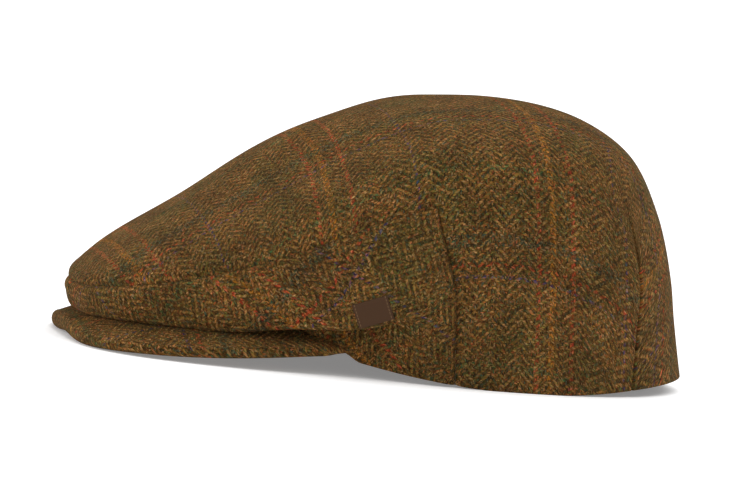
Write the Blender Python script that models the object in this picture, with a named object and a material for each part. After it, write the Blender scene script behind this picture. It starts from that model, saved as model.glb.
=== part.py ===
"""A tweed flat cap, modelled in Blender in metres, +Z up, resting on the ground at z = 0.

The visor points to -Y and the wearer's left side is +X. The crown is one large panel that runs from
the nose over the top to the back hem, closed by two darts at the back. Two side panels fill the
front corners and meet in a seam at the centre front. The crown's front rests on the visor.

The shape is worked out in the wearer's frame first, whose origin is the centre of the head opening
at the height of the back hem. Angles there run from the front (0) over the left side (90 degrees)
to the back (180). Nine rings go round the crown, from the hem (0) to the crest (8), and a level
counts them. The whole cap is then tipped forward until it rests on its hem and its visor.
"""

import math
from collections import namedtuple

import bpy
import numpy as np
from mathutils import Matrix, Vector
from mathutils.bvhtree import BVHTree

# Driving dimensions, in metres
HEAD_LENGTH = 0.204          # inside the hem, front to back
HEAD_WIDTH = 0.165           # inside the hem, side to side
CROWN_HEIGHT = 0.1148        # back hem to crest
CREST_BEHIND = 0.006         # the crest lies this far behind the middle of the head
WALL = 0.002                 # tweed with its interlining
SEAM_GAP = 0.0003            # between two pieces

VISOR_REACH = 0.0470         # head opening to the tip
VISOR_HALF_WIDTH = 0.085
VISOR_THICKNESS = 0.0060     # stiff board, cloth on both sides and turned edges
VISOR_END_THICKNESS = 0.0030 # at its two corners, where it runs into the hem
VISOR_ROUNDING = 0.0021      # how far in from the edge its rounding starts
VISOR_TIP_HEIGHT = 0.0289    # top face at the tip
VISOR_DROOP = 0.0068         # how far the edge falls from the tip to the sides
VISOR_ARCH = 1.25            # of its fall. A higher power keeps the middle more level
VISOR_CROWNING = 0.0004      # how far the top face bulges between its root and its edge
VISOR_CORNER = 56.0          # degrees, where the visor ends on either side
VISOR_SQUARENESS = 3.7       # of its outline. 2 is an ellipse

CROWN_TAPER = 0.12           # how much the crown's oval narrows towards the nose
NOSE_SETBACK = 0.0031        # the crown's nose lies this far behind the visor's tip
FOLD_INSET = 0.0030          # the turned-under fold lies this far inside the bulge above it

HEM_LIFT = 0.0385            # how high the hem's line rises at the centre front
HEM_FLAT_BEHIND = 0.060      # the hem lies flat this far behind the middle of the head

SIDE_SEAM = 85.0             # degrees, at the hem
SIDE_SEAM_LEAN = 4.8         # degrees forward, at the top of the side panel
CREASE_FRONT_HEIGHT = 0.0267 # the crease across the side panel, at the visor's corner
CREASE_BACK_HEIGHT = 0.0393  # and at the side seam
CREASE_DEPTH = 0.0034        # at the visor's corner, fading to nothing at the side seam
PLAIN_FOLD_RISE = 0.6        # behind the darts, the fold's ring as a share of the bulge's height
DART = 138.5                 # degrees, at the hem
DART_WIDTH = 0.0024
DART_DEPTH = 0.0011

LABEL_LENGTH = 0.0140
LABEL_HEIGHT = 0.0110
LABEL_THICKNESS = 0.0009
LABEL_ANGLE = 64.5           # degrees, middle of the label
LABEL_LIFT = 0.0065          # middle of the label above the crease
LABEL_SLOPE = 16.0           # degrees, rising towards the back

GROUND_FLAT = 0.0004         # how much of the hem and the visor the ground presses flat

# The rings above the fold. Reaches are shares of the nose's reach (front), of the hem's half width
# (side) and of the hem's half length (back). Blunt and square are the oval's exponents in front and
# behind, where 2 is an ellipse. Heights are shares of the way from the fold to the crest (front) and
# of the crown's height (side and back), the rise says how late the height climbs from front to side,
# and the lean is a share of the side seam's.
Ring = namedtuple(
    "Ring", "name front side back blunt square high_front high_side high_back rise lean"
)
RINGS = (
    Ring("bulge", 1.000, 1.065, 0.944, 2.60, 2.24, 0.094, 0.412, 0.352, 1.20, 0.1),
    Ring("seam", 0.996, 1.040, 0.888, 2.60, 2.26, 0.150, 0.686, 0.584, 1.30, 1.0),
    Ring("shoulder", 0.925, 0.945, 0.784, 2.60, 2.32, 0.273, 0.841, 0.786, 1.20, 1.0),
    Ring("slope", 0.710, 0.730, 0.612, 2.40, 2.26, 0.509, 0.927, 0.908, 1.05, 1.0),
    Ring("crest", 0.360, 0.430, 0.360, 2.10, 2.10, 0.862, 0.979, 0.984, 1.00, 1.0),
)
HEM, TUCK, FOLD, BULGE, SEAM, SHOULDER, SLOPE, CREST, TOP = range(9)

# Mesh density
COLUMN_STEP = 5.0            # degrees
BAND_ROWS = (3, 2, 2, 2)     # rows from ring to ring, hem to seam
DOME_ROWS = (2, 3, 3, 4)     # and from the seam to the top
DART_TOP = 3.5               # the level where the dart has faded out
VISOR_ROWS = 6
VISOR_EDGE_STEPS = 5
LABEL_STEPS = 6

HALF_LENGTH = HEAD_LENGTH / 2 + WALL
HALF_WIDTH = HEAD_WIDTH / 2 + WALL
TIP_REACH = HALF_LENGTH + VISOR_REACH
NOSE_REACH = TIP_REACH - NOSE_SETBACK


def smoothstep(low, high, value):
    """0 below low, 1 above high, and a smooth step between."""
    share = np.clip((value - low) / (high - low), 0, 1)
    return share * share * (3 - 2 * share)


def lerp(start, end, share):
    return start + (end - start) * share


def soft_max(values, floor, blend=0.002):
    """The larger of the two, rounded off where they cross."""
    half = (values - floor) / 2
    return floor + half + np.sqrt(half**2 + (blend / 2) ** 2)


def from_front(angles):
    """How far the angles are from the centre front, in degrees, on either side."""
    return np.abs((angles + 180) % 360 - 180)


def oval_radius(angles, reach, side, square):
    """Distance from the middle to an oval with this reach along Y and this half width."""
    turn = np.radians(angles)
    across = (np.abs(np.sin(turn)) / side) ** square
    along = (np.abs(np.cos(turn)) / reach) ** square
    return (across + along) ** (-1 / square)


def at_polar(angles, radii, heights):
    turn = np.radians(angles)
    return np.stack([radii * np.sin(turn), -radii * np.cos(turn), heights], axis=-1)


def hem_radius(angles):
    return oval_radius(angles, HALF_LENGTH, HALF_WIDTH, 2)


def hem_line(angles):
    """Height of the hem: flat at the back, and rising steadily towards the front."""
    back = -hem_radius(angles) * np.cos(np.radians(angles))
    share = np.clip((HEM_FLAT_BEHIND - back) / (HEM_FLAT_BEHIND + HALF_LENGTH), 0, None)
    return HEM_LIFT * share**2


def visor_breadth(angles):
    """1 along the visor, falling in a quarter round to 0 at its corners."""
    share = np.clip(from_front(angles) / VISOR_CORNER, 0, 1)
    return np.sqrt(1 - share**8)


def visor_thickness(angles):
    return lerp(VISOR_END_THICKNESS, VISOR_THICKNESS, visor_breadth(angles))


def visor_edge(angles):
    """Radius and top height of the visor's outer edge."""
    share = np.clip(from_front(angles) / VISOR_CORNER, 0, 1)
    free_radius = oval_radius(angles, TIP_REACH, VISOR_HALF_WIDTH, VISOR_SQUARENESS)
    fallen = np.sin(math.pi / 2 * np.clip(share / 0.85, 0, 1)) ** VISOR_ARCH
    free_height = VISOR_TIP_HEIGHT - VISOR_DROOP * fallen
    radius = lerp(hem_radius(angles), free_radius, visor_breadth(angles))
    height = lerp(hem_line(angles) + VISOR_END_THICKNESS, free_height, visor_breadth(angles))
    return radius, height


def visor_top(angles, radii):
    """Height of the visor's top face. It runs on level past its root and its edge."""
    edge_radius, edge_height = visor_edge(angles)
    root_radius = hem_radius(angles) - WALL
    root_height = hem_line(angles) + visor_thickness(angles)
    share = np.clip((radii - root_radius) / (edge_radius - root_radius), 0, 1)
    return lerp(root_height, edge_height, share) + VISOR_CROWNING * 4 * share * (1 - share)


def ring_points(ring, columns, fold_height):
    """One ring above the fold, where it crosses these columns."""
    sideways = np.sin(np.radians(columns)) ** 2
    angles = columns - np.sign(np.sin(np.radians(columns))) * ring.lean * SIDE_SEAM_LEAN * sideways
    forward = np.cos(np.radians(angles)) > 0
    taper = CROWN_TAPER * np.cos(np.radians(angles)) ** 2
    side = ring.side * HALF_WIDTH * np.where(forward, 1 - taper, 1)
    radii = np.where(
        forward,
        oval_radius(angles, ring.front * NOSE_REACH, side, ring.blunt),
        oval_radius(angles, ring.back * HALF_LENGTH, side, ring.square),
    )
    front_height = lerp(fold_height, CROWN_HEIGHT, ring.high_front)
    end_height = np.where(forward, front_height, ring.high_back * CROWN_HEIGHT)
    climb = (np.sin(np.radians(angles)) ** 2) ** np.where(forward, ring.rise, 1.0)
    return at_polar(angles, radii, lerp(end_height, ring.high_side * CROWN_HEIGHT, climb))


def lower_rings(columns, bulge):
    """The hem, the tuck and the fold. They lie on the visor in front and make a band at the sides."""
    aside = from_front(columns)
    off_visor = smoothstep(VISOR_CORNER - 10, VISOR_CORNER + 4, aside)
    on_hem = smoothstep(VISOR_CORNER + 1, VISOR_CORNER + 6, aside)

    hem_radii = hem_radius(columns)
    hem_heights = hem_line(columns) + (visor_thickness(columns) + SEAM_GAP) * (1 - on_hem)
    hem = at_polar(columns, hem_radii, hem_heights)

    bulge_radii = np.linalg.norm(bulge[:, :2], axis=1)
    resting_radii = bulge_radii - FOLD_INSET
    resting_height = soft_max(visor_top(columns, resting_radii) + SEAM_GAP, CREASE_FRONT_HEIGHT)
    resting_fold = at_polar(columns, resting_radii, resting_height)
    tuck_radii = lerp(hem_radii, resting_radii, 0.5)
    resting_tuck = at_polar(columns, tuck_radii, visor_top(columns, tuck_radii) + SEAM_GAP)

    toward_seam = np.clip((aside - VISOR_CORNER) / (SIDE_SEAM - VISOR_CORNER), 0, 1)
    crease_heights = lerp(CREASE_FRONT_HEIGHT, CREASE_BACK_HEIGHT, toward_seam)
    climb = (crease_heights - hem_heights) / (bulge[:, 2] - hem_heights)
    climb = lerp(climb, PLAIN_FOLD_RISE, smoothstep(SIDE_SEAM, DART, aside))
    crease_depths = CREASE_DEPTH * (1 - smoothstep(0, 1, toward_seam))
    crease_radii = lerp(hem_radii, bulge_radii, climb) - crease_depths
    crease = at_polar(columns, crease_radii, lerp(hem_heights, bulge[:, 2], climb))
    band = lerp(hem, crease, 0.5)

    blend = off_visor[:, None]
    return hem, lerp(resting_tuck, band, blend), lerp(resting_fold, crease, blend)


def crown_rings(columns):
    """Every ring's points in these columns, with one more at either end to steer the curve."""
    nose_fold = visor_top(np.zeros(1), np.array([NOSE_REACH - FOLD_INSET]))[0]
    upper = [ring_points(ring, columns, nose_fold) for ring in RINGS]
    hem, tuck, fold = lower_rings(columns, upper[0])
    top = np.broadcast_to([0.0, CREST_BEHIND, CROWN_HEIGHT], hem.shape)
    past_top = ring_points(RINGS[-1], (columns + 180) % 360, nose_fold)
    return np.stack([2 * hem - tuck, hem, tuck, fold, *upper, top, past_top])


def crown_points(columns, levels):
    """Points of the crown's outer face, on a smooth curve up each column through its rings."""
    rings = crown_rings(columns)
    spacing = np.sqrt(np.linalg.norm(np.diff(rings, axis=0), axis=2))[..., None]
    below = np.clip(levels.astype(int), HEM, TOP - 1)
    at = np.arange(len(columns))
    before, start, end, after = (rings[below + step, at] for step in range(4))
    gap_before, gap, gap_after = (spacing[below + step, at] for step in range(3))
    slope = (end - start) / gap
    slope_before = (start - before) / gap_before
    slope_after = (after - end) / gap_after
    leaving = gap * (slope * gap_before + slope_before * gap) / (gap_before + gap)
    arriving = gap * (slope * gap_after + slope_after * gap) / (gap_after + gap)
    t = (levels - below)[:, None]
    points = (
        (2 * t**3 - 3 * t**2 + 1) * start
        + (t**3 - 2 * t**2 + t) * leaving
        + (3 * t**2 - 2 * t**3) * end
        + (t**3 - t**2) * arriving
    )
    return rest_on_visor(points, levels)


def rest_on_visor(points, levels):
    """Lifts what would sink into the visor's top face."""
    angles = np.degrees(np.arctan2(points[:, 0], -points[:, 1]))
    radii = np.linalg.norm(points[:, :2], axis=1)
    edge_radius, _ = visor_edge(angles)
    over_visor = (from_front(angles) < VISOR_CORNER) & (radii < edge_radius) & (levels < BULGE)
    floor = np.where(over_visor, visor_top(angles, radii) + SEAM_GAP, -1.0)
    points[:, 2] = np.maximum(points[:, 2], floor)
    return points


def crown_wall(columns, levels):
    """Matching points of the crown's outer and inner face."""
    shape = columns.shape
    columns, levels = columns.ravel(), levels.ravel()
    outer = crown_points(columns, levels)
    angle_step, level_step = 0.5, 0.05
    lower = np.clip(levels - level_step, HEM, TOP)
    upper = np.clip(levels + level_step, HEM, TOP)
    round_way = crown_points(columns + angle_step, levels) - crown_points(columns - angle_step, levels)
    up_way = crown_points(columns, upper) - crown_points(columns, lower)
    outward = np.cross(round_way, up_way)
    outward[levels > TOP - level_step] = (0.0, 0.0, 1.0)
    outward /= np.linalg.norm(outward, axis=1, keepdims=True)
    inner = outer - WALL * outward
    return outer.reshape(*shape, 3), inner.reshape(*shape, 3)


def spread(start, end, step):
    """Even values from start to end, no further apart than the step."""
    return np.linspace(start, end, max(1, math.ceil(abs(end - start) / step - 1e-9)) + 1)


def level_rows(first, counts):
    """Levels from a ring upwards, with so many rows from each ring to the next."""
    levels = [np.linspace(first + i, first + i + 1, count + 1)[:-1] for i, count in enumerate(counts)]
    return np.concatenate([*levels, [first + len(counts)]])


def degrees_of(length, column):
    """The angle that a length along the hem spans at this column."""
    return math.degrees(length / hem_radius(np.array([column]))[0])


def level_of_gap(columns, level, length):
    """How much of a level a short length up the crown is."""
    step = 0.02
    levels = np.full(len(columns), float(level))
    risen = crown_points(columns, levels + step) - crown_points(columns, levels)
    return step * length / np.linalg.norm(risen, axis=1)


def front_columns(start, end):
    """Column angles from the centre front to the side seam, with one at the visor's corner."""
    return np.concatenate([
        spread(start, VISOR_CORNER, COLUMN_STEP),
        spread(VISOR_CORNER, end, COLUMN_STEP)[1:],
    ])


def dart_columns():
    half = degrees_of(DART_WIDTH / 2, DART)
    return DART - half, DART, DART + half


def crown_columns(half_gap):
    """Column angles of the crown's left half, from the front to the back."""
    seam = SIDE_SEAM + degrees_of(half_gap, SIDE_SEAM)
    dart_start, dart, dart_end = dart_columns()
    front = front_columns(0, seam)
    side = spread(seam, dart_start, COLUMN_STEP)
    back = spread(dart_end, 180, COLUMN_STEP)
    return np.concatenate([front, side[1:], [dart], back]), len(front) - 1


def press_darts(outer, inner, columns, levels):
    """Sinks the dart's own column into a groove that fades out upwards."""
    on_dart = np.isclose(from_front(columns), DART, atol=1e-6)
    fade = 1 - smoothstep(DART_TOP - 1.5, DART_TOP, levels)
    sunk = (DART_DEPTH * fade * on_dart)[..., None] * (inner - outer) / WALL
    return outer + sunk, inner + sunk


def closed_wall(outer, inner, faces):
    """Vertices and faces of a wall: the outer face, the inner face turned round, and the rim."""
    count = len(outer)
    directed = {(face[i - 1], face[i]) for face in faces for i in range(len(face))}
    rim = [(b, a, a + count, b + count) for a, b in directed if (b, a) not in directed]
    turned = [tuple(index + count for index in reversed(face)) for face in faces]
    return np.concatenate([outer, inner]), [*faces, *turned, *rim]


def grid_faces(rows, columns):
    """Quads of a grid of points stored row by row."""
    corners = [row * columns + column for row in range(rows - 1) for column in range(columns - 1)]
    return [(c, c + 1, c + 1 + columns, c + columns) for c in corners]


def crown():
    """The large panel: the dome all the way round, and the band behind the side seams."""
    half_gap = SEAM_GAP / 2
    half, seam_column = crown_columns(half_gap)
    angles = np.concatenate([half, 360 - half[-2:0:-1]])
    count = len(angles)
    levels = np.concatenate([level_rows(HEM, BAND_ROWS)[:-1], level_rows(SEAM, DOME_ROWS)])
    seam_row = sum(BAND_ROWS)
    columns, heights = np.meshgrid(angles, levels)
    in_front = np.minimum(np.arange(count), count - np.arange(count)) < seam_column
    heights[seam_row] += np.where(in_front, level_of_gap(angles, SEAM, half_gap), 0)

    outer, inner = press_darts(*crown_wall(columns, heights), columns, heights)
    faces = []
    for row in range(len(levels) - 2):
        for column in range(count):
            following = (column + 1) % count
            if row < seam_row and (in_front[column] or in_front[following]):
                continue
            start, above = row * count, (row + 1) * count
            faces.append((start + column, start + following, above + following, above + column))
    last_row = (len(levels) - 2) * count
    apex = (len(levels) - 1) * count
    faces += [(last_row + column, last_row + (column + 1) % count, apex) for column in range(count)]
    return drop_unused(*closed_wall(outer.reshape(-1, 3), inner.reshape(-1, 3), faces))


def drop_unused(points, faces):
    used = sorted({index for face in faces for index in face})
    place = {index: order for order, index in enumerate(used)}
    return points[used], [tuple(place[index] for index in face) for face in faces]


def side_panel(side):
    """One front corner panel, from the centre front to the side seam. The side is 1 or -1."""
    half_gap = SEAM_GAP / 2
    angles = front_columns(degrees_of(half_gap, 0), SIDE_SEAM - degrees_of(half_gap, SIDE_SEAM))
    levels = level_rows(HEM, BAND_ROWS)
    columns, heights = np.meshgrid(angles, levels)
    heights[-1] -= level_of_gap(angles, SEAM - 0.1, half_gap)
    outer, inner = crown_wall(columns, heights)
    points, faces = closed_wall(
        outer.reshape(-1, 3), inner.reshape(-1, 3), grid_faces(len(levels), len(angles))
    )
    points[:, 0] *= side
    return points, faces if side > 0 else [tuple(reversed(face)) for face in faces]


def visor_section(angle):
    """The visor's outline at one angle: out along the top, round the edge, back along the bottom."""
    edge_radius, _ = visor_edge(np.array([angle]))
    root_radius = hem_radius(np.array([angle])) - WALL
    thickness = visor_thickness(angle)
    rounding = min(VISOR_ROUNDING, (edge_radius[0] - root_radius[0]) / 2)
    radii = np.linspace(root_radius[0], edge_radius[0] - rounding, VISOR_ROWS + 1)
    heights = visor_top(np.full(len(radii), angle), radii)
    turns = np.linspace(90, -90, VISOR_EDGE_STEPS + 1)[1:-1]
    edge = [
        (radii[-1] + rounding * math.cos(math.radians(turn)),
         heights[-1] - thickness / 2 * (1 - math.sin(math.radians(turn))))
        for turn in turns
    ]
    top = list(zip(radii, heights))
    bottom = [(radius, height - thickness) for radius, height in reversed(top)]
    outline = np.array(top + edge + bottom)
    return at_polar(np.full(len(outline), angle), outline[:, 0], outline[:, 1])


def visor():
    """The peak: sections from corner to corner, joined and closed at both ends."""
    half = spread(0, VISOR_CORNER, COLUMN_STEP)
    angles = np.concatenate([-half[:0:-1], half])
    sections = [visor_section(angle) for angle in angles]
    size = len(sections[0])
    faces = []
    for index in range(len(sections) - 1):
        start, beside = index * size, (index + 1) * size
        for corner in range(size):
            following = (corner + 1) % size
            faces.append((start + corner, start + following, beside + following, beside + corner))
    faces.append(tuple(reversed(range(size))))
    faces.append(tuple(range((len(sections) - 1) * size, len(sections) * size)))
    return np.concatenate(sections), faces


def label(panel):
    """A thin tab that follows the left side panel, found by looking inward at it along rays."""
    surface = BVHTree.FromPolygons([Vector(point) for point in panel[0]], panel[1])
    turn = math.radians(LABEL_ANGLE)
    outward = Vector((math.sin(turn), -math.cos(turn), 0))
    along = Vector((math.cos(turn), math.sin(turn), 0))
    toward_seam = (LABEL_ANGLE - VISOR_CORNER) / (SIDE_SEAM - VISOR_CORNER)
    height = lerp(CREASE_FRONT_HEIGHT, CREASE_BACK_HEIGHT, toward_seam) + LABEL_LIFT
    middle = outward * (2 * HALF_WIDTH) + Vector((0, 0, height))
    tilt = Matrix.Rotation(math.radians(LABEL_SLOPE), 3, along.cross(Vector((0, 0, 1))))
    inner, outer = [], []
    for up in np.linspace(-LABEL_HEIGHT / 2, LABEL_HEIGHT / 2, LABEL_STEPS):
        for way in np.linspace(-LABEL_LENGTH / 2, LABEL_LENGTH / 2, LABEL_STEPS):
            start = middle + tilt @ (along * way + Vector((0, 0, up)))
            hit, normal, _, _ = surface.ray_cast(start, -outward)
            inner.append(hit + normal * SEAM_GAP)
            outer.append(hit + normal * (SEAM_GAP + LABEL_THICKNESS))
    return closed_wall(np.array(outer), np.array(inner), grid_faces(LABEL_STEPS, LABEL_STEPS))


def tipped(points, tilt):
    """The points with the front lowered by this many radians."""
    turn = np.array(Matrix.Rotation(tilt, 3, "X"))
    return points @ turn.T


def resting(shapes):
    """Tips the shapes forward until visor and hem are level, and stands them on the ground."""
    level, steep = 0.0, math.radians(25)
    for _ in range(40):
        tilt = (level + steep) / 2
        visor_low, crown_low = (tipped(shapes[name][0], tilt)[:, 2].min() for name in ("visor", "crown"))
        level, steep = (level, tilt) if visor_low < crown_low else (tilt, steep)
    placed = {name: tipped(points, tilt) for name, (points, _) in shapes.items()}
    everything = np.concatenate(list(placed.values()))
    low, high = everything.min(axis=0), everything.max(axis=0)
    shift = np.array([0.0, -(low[1] + high[1]) / 2, -low[2] - GROUND_FLAT])
    print(f"tipped {math.degrees(tilt):.3f} degrees, moved {shift[1]:.5f} and {shift[2]:.5f} m")
    for points in placed.values():
        points += shift
        points[:, 2] = np.maximum(points[:, 2], 0)
    return placed


def cloth(name, colour, roughness, sheen):
    material = bpy.data.materials.new(name)
    material.use_nodes = True
    shader = material.node_tree.nodes["Principled BSDF"]
    shader.inputs["Base Color"].default_value = (*colour, 1)
    shader.inputs["Roughness"].default_value = roughness
    shader.inputs["Metallic"].default_value = 0
    shader.inputs["Sheen Weight"].default_value = sheen
    return material


def add_object(name, points, faces, material, parent):
    mesh = bpy.data.meshes.new(name)
    mesh.from_pydata([tuple(point) for point in points], [], faces)
    mesh.materials.append(material)
    mesh.shade_smooth()
    mesh.set_sharp_from_angle(angle=math.radians(40))
    piece = bpy.data.objects.new(name, mesh)
    piece.parent = parent
    bpy.context.scene.collection.objects.link(piece)


def main():
    for old in list(bpy.data.objects):
        bpy.data.objects.remove(old)

    left = side_panel(1)
    shapes = {
        "crown": crown(),
        "side_panel_left": left,
        "side_panel_right": side_panel(-1),
        "visor": visor(),
        "label": label(left),
    }
    tweed = cloth("tweed", (0.115, 0.064, 0.022), 0.95, 0.3)
    webbing = cloth("woven_label", (0.062, 0.034, 0.019), 0.85, 0.0)

    cap = bpy.data.objects.new("cap", None)
    bpy.context.scene.collection.objects.link(cap)
    for name, points in resting(shapes).items():
        material = webbing if name == "label" else tweed
        add_object(name, points, shapes[name][1], material, cap)


main()
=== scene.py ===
"""The looks of a brown tweed flat cap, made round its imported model, in metres.

Every piece of the cap is made again here as a finer mesh on the same surfaces. As in the model, those
are worked out in the wearer's frame, whose origin is the centre of the head opening at the height of
the back hem. Angles there run from the front (0) over the left side (90 degrees) to the back (180).
Nine rings go round the crown, from the hem (0) to the top (8), and a level counts them. The cap is
then tipped forward and stood on the ground. Each piece carries a UV map that holds where its points
lie on the flat cloth, also in metres, and the weave is worked out from that.
"""

import math
from collections import namedtuple

import bpy
import numpy as np
from mathutils import Matrix, Vector
from mathutils.bvhtree import BVHTree

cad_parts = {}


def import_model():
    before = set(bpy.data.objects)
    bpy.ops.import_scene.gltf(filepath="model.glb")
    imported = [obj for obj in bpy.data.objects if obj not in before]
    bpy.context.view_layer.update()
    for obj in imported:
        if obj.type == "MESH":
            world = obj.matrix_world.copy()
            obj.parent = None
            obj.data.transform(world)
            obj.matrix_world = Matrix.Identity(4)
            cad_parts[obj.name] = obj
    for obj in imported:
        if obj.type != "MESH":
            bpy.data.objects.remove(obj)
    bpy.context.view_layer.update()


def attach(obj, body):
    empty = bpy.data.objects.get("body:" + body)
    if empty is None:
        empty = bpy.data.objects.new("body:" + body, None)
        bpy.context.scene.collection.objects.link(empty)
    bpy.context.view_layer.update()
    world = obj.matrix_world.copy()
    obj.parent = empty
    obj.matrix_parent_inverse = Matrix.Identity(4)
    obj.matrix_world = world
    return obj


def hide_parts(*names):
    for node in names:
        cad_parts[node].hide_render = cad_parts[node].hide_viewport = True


# The cap's sizes, as in the model
HEAD_LENGTH = 0.204          # inside the hem, front to back
HEAD_WIDTH = 0.165           # inside the hem, side to side
CROWN_HEIGHT = 0.1148        # back hem to crest
CREST_BEHIND = 0.006         # the crest lies this far behind the middle of the head
WALL = 0.002
SEAM_GAP = 0.0003            # between two pieces

VISOR_REACH = 0.0470         # head opening to the tip
VISOR_HALF_WIDTH = 0.085
VISOR_THICKNESS = 0.0060
VISOR_END_THICKNESS = 0.0030 # at its two corners, where it runs into the hem
VISOR_TIP_HEIGHT = 0.0289    # top face at the tip
VISOR_DROOP = 0.0068         # how far the edge falls from the tip to the sides
VISOR_ARCH = 1.25            # of its fall. A higher power keeps the middle more level
VISOR_FALLEN = 0.85          # share of the way to its corners where the edge has fallen
VISOR_CROWNING = 0.0004
VISOR_CORNER = 56.0          # degrees, where the visor ends on either side
VISOR_SQUARENESS = 3.7       # of its outline. 2 is an ellipse

CROWN_TAPER = 0.12           # how much the crown's oval narrows towards the nose
NOSE_SETBACK = 0.0031        # the crown's nose lies this far behind the visor's tip
FOLD_INSET = 0.0030          # the turned-under fold lies this far inside the bulge above it
HEM_LIFT = 0.0385            # how high the hem's line rises at the centre front
HEM_FLAT_BEHIND = 0.060      # the hem lies flat this far behind the middle of the head

SIDE_SEAM = 85.0             # degrees, at the hem
SIDE_SEAM_LEAN = 4.8         # degrees forward, at the top of the side panel
CREASE_FRONT_HEIGHT = 0.0267 # the crease across the side panel, at the visor's corner
CREASE_BACK_HEIGHT = 0.0393  # and at the side seam
CREASE_DEPTH = 0.0034        # at the visor's corner, fading to nothing at the side seam
PLAIN_FOLD_RISE = 0.6        # behind the darts, the fold's ring as a share of the bulge's height
DART = 138.5                 # degrees, at the hem

LABEL_LENGTH = 0.0140
LABEL_THICKNESS = 0.0009
LABEL_ANGLE = 64.5           # degrees, middle of the label
LABEL_LIFT = 0.0065          # middle of the label above the crease
LABEL_SLOPE = 16.0           # degrees, rising towards the back

# Shares and exponents of the rings above the fold, as in the model
Ring = namedtuple("Ring", "name front side back blunt square high_front high_side high_back rise lean")
RINGS = (
    Ring("bulge", 1.000, 1.065, 0.944, 2.60, 2.24, 0.094, 0.412, 0.352, 1.20, 0.1),
    Ring("seam", 0.996, 1.040, 0.888, 2.60, 2.26, 0.150, 0.686, 0.584, 1.30, 1.0),
    Ring("shoulder", 0.925, 0.945, 0.784, 2.60, 2.32, 0.273, 0.841, 0.786, 1.20, 1.0),
    Ring("slope", 0.710, 0.730, 0.612, 2.40, 2.26, 0.509, 0.927, 0.908, 1.05, 1.0),
    Ring("crest", 0.360, 0.430, 0.360, 2.10, 2.10, 0.862, 0.979, 0.984, 1.00, 1.0),
)

# Levels of the rings. The tuck is 1, and the table runs on from the bulge
HEM, FOLD, BULGE, SEAM, TOP = 0, 2, 3, 4, 8

# How the finished cap stands on the ground
REST_TILT = 6.169            # degrees, front lowered
REST_SHIFT = (0.0, 0.02479, -0.00482)

# What the sewn cap has and the plain model doesn't
SEAM_JOIN = 0.00001          # the seams close up to this on either side
SEAM_SINK = 0.0009           # depth of the valley that a seam pulls
SEAM_VALLEY = 0.0018         # half width of that valley
ALLOWANCE_RISE = 0.00025     # the seam allowances pressed open behind the cloth
ALLOWANCE_FROM_SEAM = 0.0050
LINE_VALLEY = 0.00048        # half width of the thin line where seams and darts pull in further
SIDE_SEAM_SINK = 0.0014      # depth of that line at the side seams
DART_SINK = 0.0017           # at the darts
TOP_SEAM_SINK = 0.0003       # and at the front of the top seam
CREASE_SINK = 0.0007         # the faint crease that runs on across the side seam
CREASE_VALLEY = 0.0008
EDGE_SINK = 0.0003           # the allowance's edge, pressed through in front of the side seam
EDGE_VALLEY = 0.0004
EDGE_FROM_SEAM = 0.0030
DEEPEST = 0.0017             # no valley is deeper than this
DENT_DEPTH = 0.0005          # of the soft unevenness of the cloth
DENT_SIZE = 0.030
LIP_REACH = 0.0085           # the crown's lip stands this far out over the cloth below it
LIP_CURL = 0.0018            # and that cloth meets it this far above its lowest edge
LIP_LIFT = 0.0026            # the lip rises this far off the visor towards its corner
LIP_SWELL = 0.0048           # and swells this far out behind it
SEWN_IN_DEPTH = 0.0008       # the panel's foot sinks this far into the visor at its corner
RIM_ROUNDING = 0.00045
VISOR_ROUNDING = 0.0027      # how far in from the visor's edge its rounding starts
VISOR_TIP_SHARE = 1.25       # the visor's thickness as a share of the plain solid's, at its tip
VISOR_SIDE_SHARE = 0.76      # at its sides
VISOR_THINNEST = 0.6         # and what is left of that at its two ends
LABEL_HEIGHT = 0.0096
LABEL_ROUNDING = 0.0008      # the tab thins out this far from its edge
LABEL_EDGE_SHARE = 0.45      # to this share of its thickness

# Degrees from the front over which these come in or go out
OFF_VISOR = (VISOR_CORNER - 10, VISOR_CORNER + 4)
ONTO_HEM = (VISOR_CORNER, VISOR_CORNER + 4)
SEWN_IN = (40.0, 50.0)
VISOR_SLIMS = (5.0, 29.0)
VISOR_ENDS = (VISOR_CORNER - 3, VISOR_CORNER)
TOP_SEAM_ENDS = (SIDE_SEAM - 1, SIDE_SEAM + 1)
TOP_LINE_ENDS = (45.0, 75.0)
NOSE_CLOTH_ENDS = (15.0, 65.0)

# The same, as where they start, are full, begin to fade and are over
LIP = (22.0, 44.0, 66.0, 82.0)
LIP_LIFTS = (32.0, 48.0, 52.0, 66.0)
LIP_SWELLS = (46.0, 58.0, 66.0, 78.0)
CREASE_RUNS_ON = (62.0, 72.0, 90.0, 99.0)

# Levels over which seams fade, and over which the cloth's turn at the dart opens out
SIDE_SEAM_ENDS = (SEAM - 0.2, SEAM + 0.3)
DART_ENDS = (3.1, 4.4)
DART_OPENS = (3.1, 5.3)
DART_TURN = (0.15, 18.0)     # degrees over which the cloth turns there, low down and high up

# Mesh density. The arrays are in degrees
CROWN_COLUMN_STEP = 1.25
PANEL_COLUMN_STEP = 0.75
VISOR_COLUMN_STEP = 1.0
CROWN_BEHIND_SEAM = np.array([0.32, 0.64, 1.0, 1.6, 2.4])
CROWN_BY_DART = np.array([-1.6, -1.0, -0.6, -0.35, -0.15, 0, 0.15, 0.35, 0.6, 1.0, 1.6])
PANEL_BEFORE_SEAM = np.array([3.2, 2.6, 2.3, 2.0, 1.7, 1.4, 1.0, 0.64, 0.32, 0])
PANEL_BY_FRONT = np.array([0, 0.4, 0.8, 1.3])
BAND_ROWS = (8, 14, 14, 10)  # rows from ring to ring, hem to seam
DOME_ROWS = (16, 20, 24, 24) # and from the seam to the top
VISOR_ROWS = 30
VISOR_EDGE_STEPS = 12
LABEL_STEPS = 24

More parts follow.
